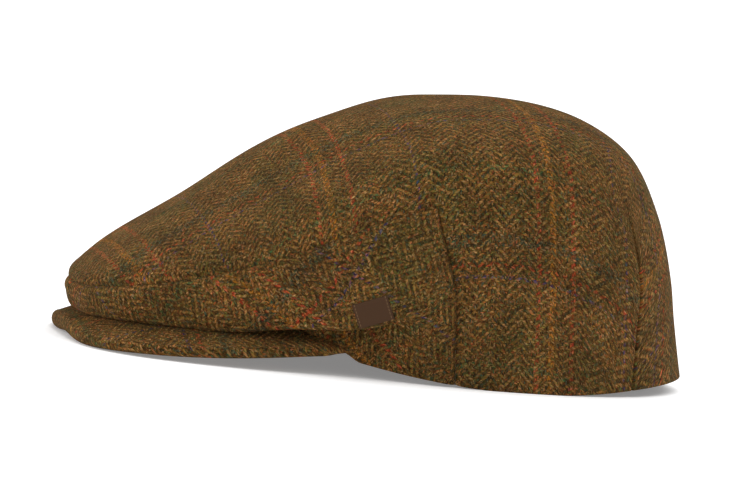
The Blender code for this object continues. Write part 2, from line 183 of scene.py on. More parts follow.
HALF_LENGTH = HEAD_LENGTH / 2 + WALL
HALF_WIDTH = HEAD_WIDTH / 2 + WALL
TIP_REACH = HALF_LENGTH + VISOR_REACH
NOSE_REACH = TIP_REACH - NOSE_SETBACK


# The cap's surfaces

def smoothstep(low, high, value):
    """0 below low, 1 above high, and a smooth step between."""
    share = np.clip((value - low) / (high - low), 0, 1)
    return share * share * (3 - 2 * share)


def fading(ends, values):
    """1 over a stretch with these four ends: where it starts, is full, begins to fade and is over."""
    start, full, fades, over = ends
    return smoothstep(start, full, values) * (1 - smoothstep(fades, over, values))


def lerp(start, end, share):
    return start + (end - start) * share


def soft_max(values, floor, blend=0.002):
    """The larger of the two, rounded off where they cross."""
    half = (values - floor) / 2
    return floor + half + np.sqrt(half**2 + (blend / 2) ** 2)


def from_front(angles):
    """How far the angles are from the centre front, in degrees, on either side."""
    return np.abs((angles + 180) % 360 - 180)


def oval_radius(angles, reach, side, square):
    """Distance from the middle to an oval with this reach along Y and this half width."""
    turn = np.radians(angles)
    across = (np.abs(np.sin(turn)) / side) ** square
    along = (np.abs(np.cos(turn)) / reach) ** square
    return (across + along) ** (-1 / square)


def at_polar(angles, radii, heights):
    turn = np.radians(angles)
    return np.stack([radii * np.sin(turn), -radii * np.cos(turn), heights], axis=-1)


def radii_of(points):
    return np.linalg.norm(points[:, :2], axis=1)


def hem_radius(angles):
    return oval_radius(angles, HALF_LENGTH, HALF_WIDTH, 2)


def hem_line(angles):
    """Height of the hem: flat at the back, and rising steadily towards the front."""
    back = -hem_radius(angles) * np.cos(np.radians(angles))
    share = np.clip((HEM_FLAT_BEHIND - back) / (HEM_FLAT_BEHIND + HALF_LENGTH), 0, None)
    return HEM_LIFT * share**2


def visor_breadth(angles):
    """1 along the visor, falling in a quarter round to 0 at its corners."""
    share = np.clip(from_front(angles) / VISOR_CORNER, 0, 1)
    return np.sqrt(1 - share**8)


def visor_thickness(angles):
    return lerp(VISOR_END_THICKNESS, VISOR_THICKNESS, visor_breadth(angles))


def visor_edge(angles):
    """Radius and top height of the visor's outer edge."""
    share = np.clip(from_front(angles) / VISOR_CORNER, 0, 1)
    free_radius = oval_radius(angles, TIP_REACH, VISOR_HALF_WIDTH, VISOR_SQUARENESS)
    fallen = np.sin(math.pi / 2 * np.clip(share / VISOR_FALLEN, 0, 1)) ** VISOR_ARCH
    free_height = VISOR_TIP_HEIGHT - VISOR_DROOP * fallen
    radius = lerp(hem_radius(angles), free_radius, visor_breadth(angles))
    height = lerp(hem_line(angles) + VISOR_END_THICKNESS, free_height, visor_breadth(angles))
    return radius, height


def visor_top(angles, radii):
    """Height of the visor's top face. It runs on level past its root and its edge."""
    edge_radius, edge_height = visor_edge(angles)
    root_radius = hem_radius(angles) - WALL
    root_height = hem_line(angles) + visor_thickness(angles)
    share = np.clip((radii - root_radius) / (edge_radius - root_radius), 0, 1)
    return lerp(root_height, edge_height, share) + VISOR_CROWNING * 4 * share * (1 - share)


def ring_points(ring, columns, fold_height):
    """One ring above the fold, where it crosses these columns."""
    sideways = np.sin(np.radians(columns)) ** 2
    angles = columns - np.sign(np.sin(np.radians(columns))) * ring.lean * SIDE_SEAM_LEAN * sideways
    forward = np.cos(np.radians(angles)) > 0
    taper = CROWN_TAPER * np.cos(np.radians(angles)) ** 2
    side = ring.side * HALF_WIDTH * np.where(forward, 1 - taper, 1)
    radii = np.where(
        forward,
        oval_radius(angles, ring.front * NOSE_REACH, side, ring.blunt),
        oval_radius(angles, ring.back * HALF_LENGTH, side, ring.square),
    )
    front_height = lerp(fold_height, CROWN_HEIGHT, ring.high_front)
    end_height = np.where(forward, front_height, ring.high_back * CROWN_HEIGHT)
    climb = (np.sin(np.radians(angles)) ** 2) ** np.where(forward, ring.rise, 1.0)
    return at_polar(angles, radii, lerp(end_height, ring.high_side * CROWN_HEIGHT, climb))


def visor_gap(aside):
    """The gap between the cloth and the visor. Towards the corners the cloth sinks in."""
    return lerp(SEAM_GAP, -SEWN_IN_DEPTH, smoothstep(*SEWN_IN, aside))


def resting_rings(columns, bulge):
    """The tuck and the fold in front, where they lie on the visor."""
    fold_radii = radii_of(bulge) - FOLD_INSET
    fold_heights = soft_max(visor_top(columns, fold_radii) + SEAM_GAP, CREASE_FRONT_HEIGHT)
    tuck_radii = lerp(hem_radius(columns), fold_radii, 0.5)
    tuck_heights = visor_top(columns, tuck_radii) + SEAM_GAP
    return at_polar(columns, tuck_radii, tuck_heights), at_polar(columns, fold_radii, fold_heights)


def band_rings(columns, hem, bulge):
    """The same two rings at the sides, where the fold is the crease over a band."""
    aside = from_front(columns)
    toward_seam = np.clip((aside - VISOR_CORNER) / (SIDE_SEAM - VISOR_CORNER), 0, 1)
    crease_heights = lerp(CREASE_FRONT_HEIGHT, CREASE_BACK_HEIGHT, toward_seam)
    climb = (crease_heights - hem[:, 2]) / (bulge[:, 2] - hem[:, 2])
    climb = lerp(climb, PLAIN_FOLD_RISE, smoothstep(SIDE_SEAM, DART, aside))
    crease_depths = CREASE_DEPTH * (1 - smoothstep(0, 1, toward_seam))
    crease_radii = lerp(hem_radius(columns), radii_of(bulge), climb) - crease_depths
    crease = at_polar(columns, crease_radii, lerp(hem[:, 2], bulge[:, 2], climb))
    return lerp(hem, crease, 0.5), crease


def lip_rings(columns, tuck, fold):
    """The tuck and the fold again, with the fold standing out as a lip over the visor's corners."""
    aside = from_front(columns)
    radii = radii_of(fold) + LIP_SWELL * fading(LIP_SWELLS, aside)
    heights = fold[:, 2] + LIP_LIFT * fading(LIP_LIFTS, aside)
    under = at_polar(columns, radii - LIP_REACH, heights + LIP_CURL)
    return lerp(tuck, under, fading(LIP, aside)[:, None]), at_polar(columns, radii, heights)


def lower_rings(columns, bulge):
    """The hem, the tuck and the fold. They lie on the visor in front and make a band at the sides."""
    aside = from_front(columns)
    lift = (visor_thickness(columns) + visor_gap(aside)) * (1 - smoothstep(*ONTO_HEM, aside))
    hem = at_polar(columns, hem_radius(columns), hem_line(columns) + lift)
    resting_tuck, resting_fold = resting_rings(columns, bulge)
    band_tuck, crease = band_rings(columns, hem, bulge)
    off_visor = smoothstep(*OFF_VISOR, aside)[:, None]
    tuck = lerp(resting_tuck, band_tuck, off_visor)
    fold = lerp(resting_fold, crease, off_visor)
    return hem, *lip_rings(columns, tuck, fold)


def crown_rings(columns):
    """Every ring's points in these columns, with one more at either end to steer the curve."""
    nose_fold = visor_top(np.zeros(1), np.array([NOSE_REACH - FOLD_INSET]))[0]
    upper = [ring_points(ring, columns, nose_fold) for ring in RINGS]
    hem, tuck, fold = lower_rings(columns, upper[0])
    top = np.broadcast_to([0.0, CREST_BEHIND, CROWN_HEIGHT], hem.shape)
    past_top = ring_points(RINGS[-1], (columns + 180) % 360, nose_fold)
    return np.stack([2 * hem - tuck, hem, tuck, fold, *upper, top, past_top])


def crown_points(columns, levels):
    """Points of the crown's outer face, on a smooth curve up each column through its rings."""
    rings = crown_rings(columns)
    spacing = np.sqrt(np.linalg.norm(np.diff(rings, axis=0), axis=2))[..., None]
    below = np.clip(levels.astype(int), HEM, TOP - 1)
    at = np.arange(len(columns))
    before, start, end, after = (rings[below + step, at] for step in range(4))
    gap_before, gap, gap_after = (spacing[below + step, at] for step in range(3))
    slope = (end - start) / gap
    slope_before = (start - before) / gap_before
    slope_after = (after - end) / gap_after
    leaving = gap * (slope * gap_before + slope_before * gap) / (gap_before + gap)
    arriving = gap * (slope * gap_after + slope_after * gap) / (gap_after + gap)
    t = (levels - below)[:, None]
    points = (
        (2 * t**3 - 3 * t**2 + 1) * start
        + (t**3 - 2 * t**2 + t) * leaving
        + (3 * t**2 - 2 * t**3) * end
        + (t**3 - t**2) * arriving
    )
    return rest_on_visor(points, levels)


def rest_on_visor(points, levels):
    """Lifts what would sink into the visor's top face."""
    angles = np.degrees(np.arctan2(points[:, 0], -points[:, 1]))
    radii = radii_of(points)
    aside = from_front(angles)
    edge_radius, _ = visor_edge(angles)
    over_visor = (aside < VISOR_CORNER) & (radii < edge_radius) & (levels < BULGE)
    floor = np.where(over_visor, visor_top(angles, radii) + visor_gap(aside), -1.0)
    points[:, 2] = np.maximum(points[:, 2], floor)
    return points


# Sewn relief on those surfaces

def valley(distance, half_width):
    return np.exp(-((distance / half_width) ** 2))


def sewn(distance):
    """Height of the cloth beside a seam: a valley, with the allowances raised a little behind it."""
    allowance = valley(np.abs(distance) - ALLOWANCE_FROM_SEAM, ALLOWANCE_FROM_SEAM / 2)
    return ALLOWANCE_RISE * allowance - SEAM_SINK * valley(distance, SEAM_VALLEY)


def unevenness(points):
    """A soft swell of the cloth with no plain pattern, between -1 and 1."""
    x, y, z = (points / DENT_SIZE).T
    first = np.sin(1.3 * x + 0.7 * y + 0.4) * np.sin(1.1 * y - 0.9 * z + 1.9)
    second = np.sin(2.3 * y + 1.7 * z + 2.2) * np.sin(1.9 * x - 1.2 * z + 0.3)
    return 0.6 * first + 0.4 * second


def relief(points, columns, levels, level_lengths):
    """How far the sewn cloth stands out from the plain surface, in metres."""
    aside = from_front(columns)
    radii = radii_of(points)
    from_top_seam = (levels - SEAM) * level_lengths
    from_side_seam = np.radians(aside - SIDE_SEAM) * radii
    from_dart = np.radians(aside - DART) * radii
    from_crease = (levels - FOLD) * level_lengths
    in_front = 1 - smoothstep(*TOP_SEAM_ENDS, aside)
    on_top_line = 1 - smoothstep(*TOP_LINE_ENDS, aside)
    in_band = 1 - smoothstep(*SIDE_SEAM_ENDS, levels)
    on_dart = 1 - smoothstep(*DART_ENDS, levels)
    height = (
        sewn(from_top_seam) * in_front
        + sewn(from_side_seam) * in_band
        + sewn(np.radians(aside) * radii) * in_band
        - SIDE_SEAM_SINK * valley(from_side_seam, LINE_VALLEY) * in_band
        - TOP_SEAM_SINK * valley(from_top_seam, LINE_VALLEY) * on_top_line
        - DART_SINK * valley(from_dart, LINE_VALLEY) * on_dart
        - CREASE_SINK * valley(from_crease, CREASE_VALLEY) * fading(CREASE_RUNS_ON, aside)
        - EDGE_SINK * valley(from_side_seam + EDGE_FROM_SEAM, EDGE_VALLEY) * in_band
        + DENT_DEPTH * unevenness(points) * smoothstep(HEM, BULGE, levels)
    )
    return np.maximum(height, -DEEPEST)


def crown_wall(columns, levels):
    """Matching points of the crown's outer and inner face, with the relief on the outer one."""
    shape = columns.shape
    columns, levels = columns.ravel(), levels.ravel()
    outer = crown_points(columns, levels)
    angle_step, level_step = 0.5, 0.05
    lower = np.clip(levels - level_step, HEM, TOP)
    upper = np.clip(levels + level_step, HEM, TOP)
    round_way = crown_points(columns + angle_step, levels) - crown_points(columns - angle_step, levels)
    up_way = crown_points(columns, upper) - crown_points(columns, lower)
    outward = np.cross(round_way, up_way)
    outward[levels > TOP - level_step] = (0.0, 0.0, 1.0)
    outward /= np.linalg.norm(outward, axis=1, keepdims=True)
    inner = outer - WALL * outward
    level_lengths = np.linalg.norm(up_way, axis=1) / (upper - lower)
    outer = outer + relief(outer, columns, levels, level_lengths)[:, None] * outward
    return outer.reshape(*shape, 3), inner.reshape(*shape, 3)


def spread(start, end, step):
    """Even values from start to end, no further apart than the step."""
    return np.linspace(start, end, max(1, math.ceil(abs(end - start) / step - 1e-9)) + 1)


def level_rows(first, counts):
    """Levels from a ring upwards, with so many rows from each ring to the next."""
    levels = [np.linspace(first + i, first + i + 1, count + 1)[:-1] for i, count in enumerate(counts)]
    return np.concatenate([*levels, [first + len(counts)]])


def degrees_of(length, column):
    """The angle that a length along the hem spans at this column."""
    return math.degrees(length / hem_radius(np.array([column]))[0])


def level_of_gap(columns, level, length):
    """How much of a level a short length up the crown is."""
    step = 0.02
    levels = np.full(len(columns), float(level))
    risen = crown_points(columns, levels + step) - crown_points(columns, levels)
    return step * length / np.linalg.norm(risen, axis=1)


# Where a point of the cap lies on the flat cloth, in metres

def length_along(points, axis):
    """Running length of a grid of points along one of its axes."""
    steps = np.linalg.norm(np.diff(points, axis=axis), axis=2)
    return np.cumsum(np.insert(steps, 0, 0, axis=axis), axis=axis)


def crown_cloth(outer, columns, levels):
    """The crown's cloth lies flat over the top and hangs straight down the sides, nose and back."""
    climbed = length_along(outer, 0)
    drop = climbed[-1] - climbed - np.linalg.norm(outer[..., :2] - outer[-1, :, :2], axis=2)
    aside = from_front(columns)
    by_dart = lerp(*DART_TURN, smoothstep(*DART_OPENS, levels))
    toward_back = smoothstep(-1, 1, (aside - DART) / by_dart)
    toward_nose = 1 - smoothstep(*NOSE_CLOTH_ENDS, aside)
    turn = math.pi / 2 * (1 - toward_back - toward_nose)
    facing = np.where(aside < 90, -1, 1)
    across = np.abs(outer[..., 0]) + np.sin(turn) * drop
    along = outer[..., 1] + facing * np.cos(turn) * drop
    side = np.sign(np.sin(np.radians(columns)))
    return np.stack([side * across, along], axis=-1)


def panel_cloth(outer, levels):
    """The side panel's cloth runs from the centre front along its bulge, and up from its fold."""
    fold = int(np.argmin(np.abs(levels[:, 0] - FOLD)))
    bulge = int(np.argmin(np.abs(levels[:, 0] - BULGE)))
    climbed = length_along(outer, 0)
    along = np.broadcast_to(length_along(outer, 1)[bulge], climbed.shape)
    return np.stack([along, climbed - climbed[fold]], axis=-1)


# Meshes

def grid_faces(rows, columns):
    """Quads of a grid of points stored row by row."""
    corners = [row * columns + column for row in range(rows - 1) for column in range(columns - 1)]
    return [(c, c + 1, c + 1 + columns, c + columns) for c in corners]


def face_round(row, column, count):
    """A quad of a grid whose rows, of so many points each, close on themselves."""
    start, above, following = row * count, (row + 1) * count, (column + 1) % count
    return start + column, start + following, above + following, above + column


def closed_wall(outer, inner, faces):
    """Vertices and faces of a wall: the outer face, the inner face turned round, and the rim."""
    outer, inner = np.reshape(outer, (-1, 3)), np.reshape(inner, (-1, 3))
    count = len(outer)
    directed = {(face[i - 1], face[i]) for face in faces for i in range(len(face))}
    rim = [(b, a, a + count, b + count) for a, b in directed if (b, a) not in directed]
    turned = [tuple(index + count for index in reversed(face)) for face in faces]
    return np.concatenate([outer, inner]), [*faces, *turned, *sorted(rim)]


def add_object(name, data):
    made = bpy.data.objects.new(name, data)
    bpy.context.scene.collection.objects.link(made)
    return made


def at_rest(points):
    """Takes points from the wearer's frame to where the tipped cap stands on the ground."""
    turn = np.array(Matrix.Rotation(math.radians(REST_TILT), 3, "X"))
    placed = points @ turn.T + np.array(REST_SHIFT)
    placed[:, 2] = np.maximum(placed[:, 2], 0)
    return placed


def cloth_piece(name, points, faces, cloth, material):
    """A mesh object at rest on the ground, with its cloth coordinates as its UV map."""
    mesh = bpy.data.meshes.new(name)
    mesh.from_pydata(at_rest(points).tolist(), [], faces)
    mesh.materials.append(material)
    mesh.shade_smooth()
    corners = np.empty(len(mesh.loops), np.int32)
    mesh.loops.foreach_get("vertex_index", corners)
    flat = mesh.uv_layers.new(name="cloth")
    flat.uv.foreach_set("vector", np.asarray(cloth, np.float32)[corners].ravel())
    piece = add_object(name, mesh)
    bpy.context.view_layer.update()
    return piece


def round_rims(piece, sheet_size):
    """Rounds the cut edges of a wall. Its rim's faces come after those of its two sheets."""
    mesh = piece.data
    rim = [face.vertices[:] for face in mesh.polygons[2 * sheet_size:]]
    cut = {frozenset(pair) for face in rim for pair in (face[:2], face[2:])}
    weights = [float(frozenset(edge.vertices) in cut) for edge in mesh.edges]
    mesh.attributes.new("bevel_weight_edge", "FLOAT", "EDGE").data.foreach_set("value", weights)
    rounding = piece.modifiers.new("rims", "BEVEL")
    rounding.width = RIM_ROUNDING
    rounding.segments = 3
    rounding.limit_method = "WEIGHT"


def drop_unused(points, cloth, faces):
    """Leaves out the points that no face uses."""
    used = sorted({index for face in faces for index in face})
    place = {index: order for order, index in enumerate(used)}
    return points[used], cloth[used], [tuple(place[index] for index in face) for face in faces]


def crown_columns():
    """Column angles of the crown's left half, closer together at the side seam and the dart."""
    seam = SIDE_SEAM + degrees_of(SEAM_JOIN, SIDE_SEAM)
    behind_seam = seam + CROWN_BEHIND_SEAM
    by_dart = DART + CROWN_BY_DART
    front = spread(0, seam, CROWN_COLUMN_STEP)
    side = spread(behind_seam[-1], by_dart[0], CROWN_COLUMN_STEP)
    back = spread(by_dart[-1], 180, CROWN_COLUMN_STEP)
    half = np.concatenate([front, behind_seam, side[1:], by_dart[1:], back[1:]])
    return half, len(front) - 1


def crown_faces(levels, count, seam_row, in_front):
    """Faces of the dome, and of the band where it isn't in front of the side seams."""
    faces = []
    for row in range(levels - 2):
        for column in range(count):
            if row >= seam_row or not (in_front[column] or in_front[(column + 1) % count]):
                faces.append(face_round(row, column, count))
    last_row = (levels - 2) * count
    apex = last_row + count
    faces += [(last_row + column, last_row + (column + 1) % count, apex) for column in range(count)]
    return faces


def crown(material):
    """The large panel: the dome all the way round, and the band behind the side seams."""
    half, seam_column = crown_columns()
    angles = np.concatenate([half, 360 - half[-2:0:-1]])
    count = len(angles)
    levels = np.concatenate([level_rows(HEM, BAND_ROWS)[:-1], level_rows(SEAM, DOME_ROWS)])
    seam_row = sum(BAND_ROWS)
    columns, heights = np.meshgrid(angles, levels)
    in_front = np.minimum(np.arange(count), count - np.arange(count)) < seam_column
    heights[seam_row] += np.where(in_front, level_of_gap(angles, SEAM, SEAM_JOIN), 0)

    outer, inner = crown_wall(columns, heights)
    flat = crown_cloth(outer, columns, heights).reshape(-1, 2)
    sheet = crown_faces(len(levels), count, seam_row, in_front)
    points, faces = closed_wall(outer, inner, sheet)
    points, flat, faces = drop_unused(points, np.concatenate([flat, flat]), faces)
    piece = cloth_piece("crown_cloth", points, faces, flat, material)
    round_rims(piece, len(sheet))
    return piece


def panel_wall():
    """Outer and inner points of the left side panel, and their levels."""
    end = SIDE_SEAM - degrees_of(SEAM_JOIN, SIDE_SEAM)
    before_seam = end - PANEL_BEFORE_SEAM
    by_front = degrees_of(SEAM_JOIN, 0) + PANEL_BY_FRONT
    between = spread(by_front[-1], before_seam[0], PANEL_COLUMN_STEP)
    angles = np.concatenate([by_front, between[1:-1], before_seam])
    columns, levels = np.meshgrid(angles, level_rows(HEM, BAND_ROWS))
    just_below = SEAM - 0.1
    levels[-1] -= level_of_gap(angles, just_below, SEAM_JOIN)
    outer, inner = crown_wall(columns, levels)
    return outer, inner, levels


def side_panel(name, side, material):
    """One front corner panel, from the centre front to the side seam. The side is 1 or -1."""
    outer, inner, levels = panel_wall()
    flat = panel_cloth(outer, levels).reshape(-1, 2)
    sheet = grid_faces(*outer.shape[:2])
    points, faces = closed_wall(outer, inner, sheet)
    flat = np.concatenate([flat, flat])
    points[:, 0] *= side
    flat[:, 0] *= side
    if side < 0:
        faces = [tuple(reversed(face)) for face in faces]
    piece = cloth_piece(name, points, faces, flat, material)
    round_rims(piece, len(sheet))
    return piece


def visor_section(angle):
    """The outline at one angle, out along the top, round the edge and back, with its cloth."""
    ends = smoothstep(*VISOR_ENDS, abs(angle))
    edge_radius = visor_edge(np.array([angle]))[0][0]
    root_radius = hem_radius(np.array([angle]))[0] - WALL
    slimmed = lerp(VISOR_TIP_SHARE, VISOR_SIDE_SHARE, smoothstep(*VISOR_SLIMS, abs(angle)))
    thickness = visor_thickness(angle) * slimmed * lerp(1.0, VISOR_THINNEST, ends)
    rounding = min(VISOR_ROUNDING, thickness / 2, (edge_radius - root_radius) / 2)
    radii = np.linspace(root_radius, edge_radius - rounding, VISOR_ROWS + 1)
    heights = visor_top(np.full(len(radii), angle), radii)
    turns = np.radians(np.linspace(90, -90, VISOR_EDGE_STEPS + 1)[1:-1])
    edge_radii = radii[-1] + rounding * np.cos(turns)
    edge_heights = heights[-1] - thickness / 2 * (1 - np.sin(turns))
    outline_radii = np.concatenate([radii, edge_radii, radii[::-1]])
    outline_heights = np.concatenate([heights, edge_heights, heights[::-1] - thickness])
    outline = at_polar(np.full(len(outline_radii), angle), outline_radii, outline_heights)
    run = root_radius + length_along(outline[None], 1)[0]
    flat = at_polar(np.full(len(run), angle), run, run)[:, :2]
    return outline, flat


def visor(material):
    """The peak: sections from corner to corner, joined and closed at both ends."""
    half = spread(0, VISOR_CORNER, VISOR_COLUMN_STEP)
    sections = [visor_section(angle) for angle in np.concatenate([-half[:0:-1], half])]
    points = np.array([outline for outline, _ in sections])
    flat = np.array([cloth for _, cloth in sections])
    count, size = points.shape[:2]
    faces = [face_round(row, corner, size) for row in range(count - 1) for corner in range(size)]
    faces.append(tuple(reversed(range(size))))
    faces.append(tuple(range((count - 1) * size, count * size)))
    return cloth_piece("visor_cloth", points.reshape(-1, 3), faces, flat.reshape(-1, 2), material)


def label(material):
    """The tab, found by looking inward at the left side panel along rays."""
    outer, _, _ = panel_wall()
    surface = BVHTree.FromPolygons(outer.reshape(-1, 3).tolist(), grid_faces(*outer.shape[:2]))
    turn = math.radians(LABEL_ANGLE)
    outward = Vector((math.sin(turn), -math.cos(turn), 0))
    along = Vector((math.cos(turn), math.sin(turn), 0))
    toward_seam = (LABEL_ANGLE - VISOR_CORNER) / (SIDE_SEAM - VISOR_CORNER)
    height = lerp(CREASE_FRONT_HEIGHT, CREASE_BACK_HEIGHT, toward_seam) + LABEL_LIFT
    middle = outward * (2 * HALF_WIDTH) + Vector((0, 0, height))
    tilt = Matrix.Rotation(math.radians(LABEL_SLOPE), 3, along.cross(Vector((0, 0, 1))))
    back, face, flat = [], [], []
    for up in np.linspace(-0.5, 0.5, LABEL_STEPS):
        for way in np.linspace(-0.5, 0.5, LABEL_STEPS):
            place = Vector((0, 0, up * LABEL_HEIGHT)) + along * (way * LABEL_LENGTH)
            hit, normal, _, _ = surface.ray_cast(middle + tilt @ place, -outward)
            to_edge = min(LABEL_LENGTH * (0.5 - abs(way)), LABEL_HEIGHT * (0.5 - abs(up)))
            rounded = lerp(LABEL_EDGE_SHARE, 1.0, float(smoothstep(0, LABEL_ROUNDING, to_edge)))
            back.append(hit + normal * SEAM_GAP)
            face.append(hit + normal * (SEAM_GAP + LABEL_THICKNESS * rounded))
            flat.append((way * LABEL_LENGTH, up * LABEL_HEIGHT))
    points, faces = closed_wall(face, back, grid_faces(LABEL_STEPS, LABEL_STEPS))
    return cloth_piece("label_tab", points, faces, flat + flat, material)


# Materials

class Shading:
    """A material whose nodes are added one after another. Inputs are numbers or other nodes' outputs."""

    def __init__(self, name):
        self.material = bpy.data.materials.new(name)
        self.material.use_nodes = True
        self.tree = self.material.node_tree
        self.surface = self.tree.nodes["Principled BSDF"]

    def feed(self, socket, value):
        if isinstance(value, bpy.types.NodeSocket):
            self.tree.links.new(value, socket)
        else:
            socket.default_value = value

    def node(self, kind, inputs, **settings):
        """A node with these settings and inputs. An input is named by its name or its number."""
        made = self.tree.nodes.new(kind)
        for setting, value in settings.items():
            setattr(made, setting, value)
        for name, value in inputs.items():
            self.feed(made.inputs[name], value)
        return made

    def math(self, operation, *values):
        return self.node("ShaderNodeMath", dict(enumerate(values)), operation=operation).outputs[0]

    def vector(self, operation, inputs):
        return self.node("ShaderNodeVectorMath", inputs, operation=operation).outputs[0]

    def join(self, x, y, z=0.0):
        return self.node("ShaderNodeCombineXYZ", {"X": x, "Y": y, "Z": z}).outputs[0]

    def split(self, vector):
        made = self.node("ShaderNodeSeparateXYZ", {"Vector": vector})
        return made.outputs["X"], made.outputs["Y"]

    def mix(self, share, first, second, blend="MIX"):
        """Two colours mixed."""
        made = self.node("ShaderNodeMix", {}, data_type="RGBA", blend_type=blend)
        self.feed(made.inputs["Factor"], share)
        self.feed(made.inputs[6], first)
        self.feed(made.inputs[7], second)
        return made.outputs[2]

    def choose(self, share, first, second):
        """Two numbers mixed."""
        made = self.node("ShaderNodeMix", {"Factor": share, 2: first, 3: second}, data_type="FLOAT")
        return made.outputs[0]

    def noise(self, vector, scale, detail=2.0, roughness=0.5):
        inputs = {"Vector": vector, "Scale": scale, "Detail": detail, "Roughness": roughness}
        return self.node("ShaderNodeTexNoise", inputs).outputs["Fac"]

    def ramp(self, value, stops):
        """A smooth run of colours through these (place, colour) stops."""
        made = self.node("ShaderNodeValToRGB", {"Fac": value})
        elements = made.color_ramp.elements
        while len(elements) < len(stops):
            elements.new(1.0)
        for element, (place, colour) in zip(elements, stops):
            element.position = place
            element.color = (*colour, 1.0)
        return made.outputs["Color"]

    def range(self, value, low, high, to_low, to_high):
        """A smooth step from one number to another, as the value goes from low to high."""
        inputs = {"Value": value, 1: low, 2: high, 3: to_low, 4: to_high}
        return self.node("ShaderNodeMapRange", inputs, interpolation_type="SMOOTHSTEP").outputs[0]

    def cloth(self):
        """Where a point lies on the flat cloth."""
        return self.node("ShaderNodeUVMap", {}, uv_map="cloth").outputs["UV"]

    def bump(self, height, strength, distance):
        inputs = {"Height": height, "Strength": strength, "Distance": distance}
        return self.node("ShaderNodeBump", inputs).outputs[0]

    def finish(self, inputs):
        """Feeds the surface with these, and hands over the material."""
        for name, value in inputs.items():
            self.feed(self.surface.inputs[name], value)
        return self.material


# Wool colours, linear
UMBER = (0.018, 0.009, 0.003)
BROWN = (0.070, 0.030, 0.007)
OLIVE = (0.076, 0.050, 0.010)
TEAL = (0.018, 0.054, 0.040)
OCHRE = (0.218, 0.092, 0.019)
TAN = (0.325, 0.180, 0.070)
RUST = (0.280, 0.042, 0.014)
RED = (0.420, 0.034, 0.016)
ORANGE = (0.430, 0.135, 0.010)
NAVY = (0.018, 0.024, 0.110)
GREEN = (0.026, 0.088, 0.030)
MOSS = (0.125, 0.106, 0.020)

# Which of these a yarn or a loose fibre shows, as shares from 0 to 1
DARK_YARN = ((0.0, UMBER), (0.30, BROWN), (0.50, OLIVE), (0.66, TEAL), (0.80, BROWN), (1.0, UMBER))
LIGHT_YARN = (
    (0.0, BROWN), (0.18, OCHRE), (0.36, MOSS), (0.50, OLIVE),
    (0.62, OCHRE), (0.80, TAN), (0.92, RUST), (1.0, OLIVE),
)
FIBRES = (
    (0.0, UMBER), (0.16, BROWN), (0.30, OCHRE), (0.42, UMBER), (0.52, OLIVE), (0.62, TEAL),
    (0.70, OCHRE), (0.77, TAN), (0.84, RUST), (0.89, MOSS), (0.95, GREEN), (1.0, UMBER),
)

# The overcheck's coloured yarns: place on the cloth and width in metres, and colour
Stripe = namedtuple("Stripe", "place width colour")
LENGTHWISE_PANE = 0.088
LENGTHWISE = (
    Stripe(0.0255, 0.0017, RED),
    Stripe(0.0315, 0.0026, ORANGE),
    Stripe(0.0405, 0.0018, RED),
    Stripe(0.0655, 0.0010, NAVY),
)
CROSSWISE_PANE = 0.081
CROSSWISE = (
    Stripe(0.0075, 0.0022, GREEN),
    Stripe(0.0374, 0.0050, TEAL),
    Stripe(0.0475, 0.0017, RED),
    Stripe(0.0525, 0.0013, NAVY),
)

YARN = 0.00044               # from one yarn to the next
FLOAT = 4.0                  # yarns that each yarn passes over, and then under
ENDS = 14.0                  # yarns across one column of the herringbone
YARN_ARCH = 0.6              # how much higher a float stands in its middle, as a share
WEAVE_RELIEF = 0.00022
COLOUR_RUN = 0.5             # changes of a yarn's colour for each yarn that it crosses
COLOUR_SLIP = 0.37           # how far these slip from one yarn to the next
DARK_DRAW, LIGHT_DRAW = 0.13, 0.71  # seeds of the yarns' colours
YARN_DRIFT = (120.0, 0.0014) # scale of the noise that moves the yarns about, and how far it does
YARN_WOBBLE = (900.0, 0.0003)
FIBRES_ALONG = 900.0         # loose fibres to a metre, end to end
FIBRES_ACROSS = 2200.0       # and side by side
FIBRE_TONES = (0.46, 1.50)
FELTED = 0.48                # share of the loose fibres in the colour
PAINTED_YARN_SHADE = (0.80, 0.44)   # painted shade on the round yarns: how much lighter the top of a yarn is painted than its foot, and the foot's tone
GREEN_TINT = (0.72, 0.98, 0.92, 1.0)

# Scales of the tweed's noises, and for each what part of it counts and what that stands for
WEAR_SCALE, WEAR = 700.0, (0.40, 0.57, 0.12, 0.97)
PATCH_SCALE, PATCHES = 60.0, (0.3, 0.7, 0.80, 1.20)
GREEN_SCALE, GREENER = 33.0, (0.45, 0.68, 0.0, 0.55)
NAP_SCALE, NAP_ROUGHNESS = 2600.0, (0.3, 0.7, 0.88, 1.0)
NAP_RISE = 0.9               # as a share of a yarn's height


def repeat_distance(shade, place, middle, pane):
    """How far a place is from the middle of the nearest stripe of a repeat."""
    shifted = shade.math("ADD", place, pane / 2 - middle)
    inside = shade.math("FLOORED_MODULO", shifted, pane)
    return shade.math("ABSOLUTE", shade.math("SUBTRACT", inside, pane / 2))


def striped(shade, place, table, pane, strength, base):
    """Lays the overcheck's yarns over a yarn colour, by their place across the cloth."""
    for stripe in table:
        away = repeat_distance(shade, place, stripe.place, pane)
        hit = shade.math("LESS_THAN", away, stripe.width / 2)
        base = shade.mix(shade.math("MULTIPLY", hit, strength), base, (*stripe.colour, 1.0))
    return base


def yarn_draw(shade, yarn, run, seed):
    """A random number that stays the same for a while along one yarn."""
    slipped = shade.math("MULTIPLY_ADD", yarn, COLOUR_SLIP, seed)
    place = shade.math("FLOOR", shade.math("MULTIPLY_ADD", run, COLOUR_RUN, slipped))
    inputs = {"Vector": shade.join(yarn, place, seed)}
    return shade.node("ShaderNodeTexWhiteNoise", inputs, noise_dimensions="3D").outputs["Value"]


def cylinder(shade, across):
    """Height of a round yarn over its width, from a place between 0 and 1."""
    off = shade.math("MULTIPLY_ADD", across, 2.0, -1.0)
    return shade.math("SQRT", shade.math("SUBTRACT", 1.001, shade.math("MULTIPLY", off, off)))


